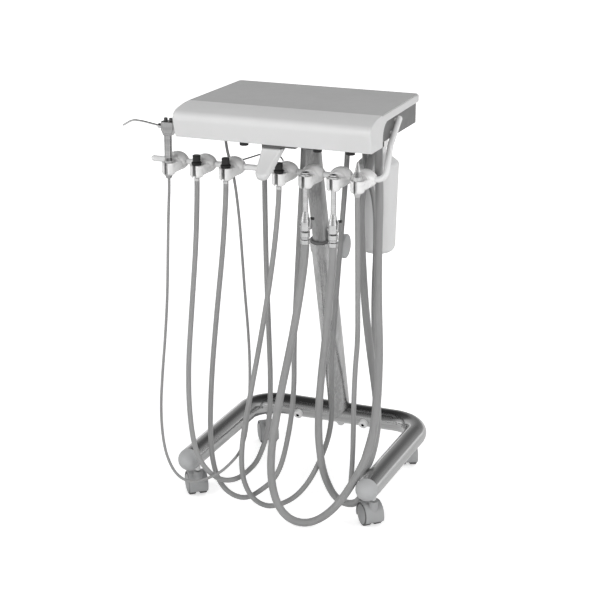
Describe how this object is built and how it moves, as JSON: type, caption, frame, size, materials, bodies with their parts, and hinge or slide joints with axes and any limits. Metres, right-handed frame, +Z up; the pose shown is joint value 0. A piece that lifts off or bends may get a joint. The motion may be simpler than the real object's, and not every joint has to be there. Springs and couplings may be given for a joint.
{
  "type": "portable dental unit",
  "caption": "Portable dental delivery cart: instrument head with holders and hoses on a leaning telescopic post, U-shaped tube base on swivel casters.",
  "frame": {"origin": "on the floor, midway between the four casters' stems in front and behind, under the middle of the legs", "axes": "+Z up, -Y towards the user at the handle and holders, +X to the right of the unit seen from its front"},
  "size_m": [0.5821, 0.4851, 0.876],
  "materials": {
    "chrome": "polished",
    "satin_steel": "satin",
    "cap_gray": "matte",
    "caster_gray": "matte",
    "tread_dark": "matte",
    "black_plastic": "matte",
    "white_plastic": "gloss",
    "white_shell": "gloss",
    "white_paint": "gloss",
    "dark_steel": "matte",
    "chassis_gray": "satin",
    "mat_gray": "matte",
    "bright_metal": "polished",
    "block_aluminium": "machined",
    "bottle_clear": "translucent",
    "dark_rubber": "matte",
    "hose_gray": "matte"
  },
  "bodies": {
    "base": {"base_tube": "chrome", "end_caps": "cap_gray", "caster_stems": "chrome", "lower_post": "chrome", "post_bushing": "black_plastic", "post_bolt": "chrome", "utility_inlets": "white_plastic"},
    "head": {"upper_post": "satin_steel", "head_bracket": "dark_steel", "chassis": "chassis_gray", "cover": "white_shell", "work_surface": "mat_gray", "handle": "white_shell", "handle_plate": "dark_steel", "holder_bar": "white_paint", "syringe_body": "bright_metal", "handpiece_connectors": "bright_metal", "connector_caps": "black_plastic", "evacuator_5": "bright_metal", "evacuator_6": "bright_metal", "evacuator_adapters": "bright_metal", "saliva_ejector": "bright_metal", "control_block": "block_aluminium", "bottle_cap": "white_plastic", "hose_glands": "dark_rubber", "signal_tube": "dark_rubber", "screws": "chrome", "holder_1": "white_plastic", "holder_2": "white_plastic", "holder_3": "white_plastic", "holder_4": "white_plastic", "holder_5": "white_plastic", "holder_6": "white_plastic", "holder_7": "white_plastic", "hose_1": "hose_gray", "hose_2": "hose_gray", "hose_3": "hose_gray", "hose_4": "hose_gray", "hose_5": "hose_gray", "hose_6": "hose_gray", "hose_7": "hose_gray"},
    "lock_knob": {"lock_knob": "cap_gray"},
    "syringe_nozzle": {"syringe_nozzle": "bright_metal"},
    "air_button": {"air_button": "black_plastic"},
    "water_button": {"water_button": "black_plastic"},
    "bottle": {"bottle": "bottle_clear"},
    "caster_FL": {"caster_hood_FL": "caster_gray"},
    "wheels_FL": {"caster_wheels_FL": "tread_dark"},
    "caster_FR": {"caster_hood_FR": "caster_gray"},
    "wheels_FR": {"caster_wheels_FR": "tread_dark"},
    "caster_RL": {"caster_hood_RL": "caster_gray"},
    "wheels_RL": {"caster_wheels_RL": "tread_dark"},
    "caster_RR": {"caster_hood_RR": "caster_gray"},
    "wheels_RR": {"caster_wheels_RR": "tread_dark"},
    "evacuator_lever_5": {"evacuator_lever_5": "bright_metal"},
    "evacuator_lever_6": {"evacuator_lever_6": "bright_metal"},
    "flow_knob_1": {"flow_knob_1": "black_plastic"},
    "flow_knob_2": {"flow_knob_2": "black_plastic"},
    "flow_knob_3": {"flow_knob_3": "black_plastic"}
  },
  "joints": [
    {"name": "head_height", "type": "slide", "parent": "base", "child": "head", "axis": [0, -0.2588, 0.9659], "range_m": [0, 0.18]},
    {"name": "caster_swivel_FL", "type": "hinge", "parent": "base", "child": "caster_FL", "pos_m": [-0.203, -0.161, 0.06], "axis": [0, 0, 1], "continuous": true},
    {"name": "wheel_spin_FL", "type": "hinge", "parent": "caster_FL", "child": "wheels_FL", "pos_m": [-0.21307, -0.14857, 0.025], "axis": [-0.7771, -0.6293, 0], "continuous": true},
    {"name": "caster_swivel_FR", "type": "hinge", "parent": "base", "child": "caster_FR", "pos_m": [0.203, -0.161, 0.06], "axis": [0, 0, 1], "continuous": true},
    {"name": "wheel_spin_FR", "type": "hinge", "parent": "caster_FR", "child": "wheels_FR", "pos_m": [0.19189, -0.14949, 0.025], "axis": [-0.7193, -0.6947, 0], "continuous": true},
    {"name": "caster_swivel_RL", "type": "hinge", "parent": "base", "child": "caster_RL", "pos_m": [-0.17214, 0.16103, 0.06], "axis": [0, 0, 1], "continuous": true},
    {"name": "wheel_spin_RL", "type": "hinge", "parent": "caster_RL", "child": "wheels_RL", "pos_m": [-0.18132, 0.17414, 0.025], "axis": [-0.8192, -0.5736, 0], "continuous": true},
    {"name": "caster_swivel_RR", "type": "hinge", "parent": "base", "child": "caster_RR", "pos_m": [0.17214, 0.16103, 0.06], "axis": [0, 0, 1], "continuous": true},
    {"name": "wheel_spin_RR", "type": "hinge", "parent": "caster_RR", "child": "wheels_RR", "pos_m": [0.16463, 0.17516, 0.025], "axis": [-0.8829, -0.4695, 0], "continuous": true},
    {"name": "lock_turn", "type": "hinge", "parent": "base", "child": "lock_knob", "pos_m": [0.045, 0.05627, 0.53863], "axis": [1, 0, 0], "range_deg": [0, 360]},
    {"name": "nozzle_turn", "type": "hinge", "parent": "head", "child": "syringe_nozzle", "pos_m": [-0.2631, -0.168, 0.819], "axis": [-0.9877, 0, 0.1564], "continuous": true},
    {"name": "air_press", "type": "slide", "parent": "head", "child": "air_button", "axis": [0, 0, -1], "range_m": [0, 0.0025], "stiffness_N_per_m": 600},
    {"name": "water_press", "type": "slide", "parent": "head", "child": "water_button", "axis": [0, 0, -1], "range_m": [0, 0.0025], "stiffness_N_per_m": 600},
    {"name": "evacuator_valve_5", "type": "hinge", "parent": "head", "child": "evacuator_lever_5", "pos_m": [0.0517, -0.168, 0.641], "axis": [1, 0, 0], "range_deg": [0, 90]},
    {"name": "evacuator_valve_6", "type": "hinge", "parent": "head", "child": "evacuator_lever_6", "pos_m": [0.1115, -0.168, 0.641], "axis": [1, 0, 0], "range_deg": [0, 90]},
    {"name": "flow_turn_1", "type": "hinge", "parent": "head", "child": "flow_knob_1", "pos_m": [-0.0655, -0.203, 0.808], "axis": [0, 0, 1], "range_deg": [0, 1080]},
    {"name": "flow_turn_2", "type": "hinge", "parent": "head", "child": "flow_knob_2", "pos_m": [0.0912, -0.203, 0.808], "axis": [0, 0, 1], "range_deg": [0, 1080]},
    {"name": "flow_turn_3", "type": "hinge", "parent": "head", "child": "flow_knob_3", "pos_m": [0.1598, -0.203, 0.808], "axis": [0, 0, 1], "range_deg": [0, 1080]},
    {"name": "bottle_unscrew", "type": "hinge", "parent": "head", "child": "bottle", "pos_m": [0.146, 0, 0.7], "axis": [0, 0, -1], "range_deg": [0, 360]}
  ]
}
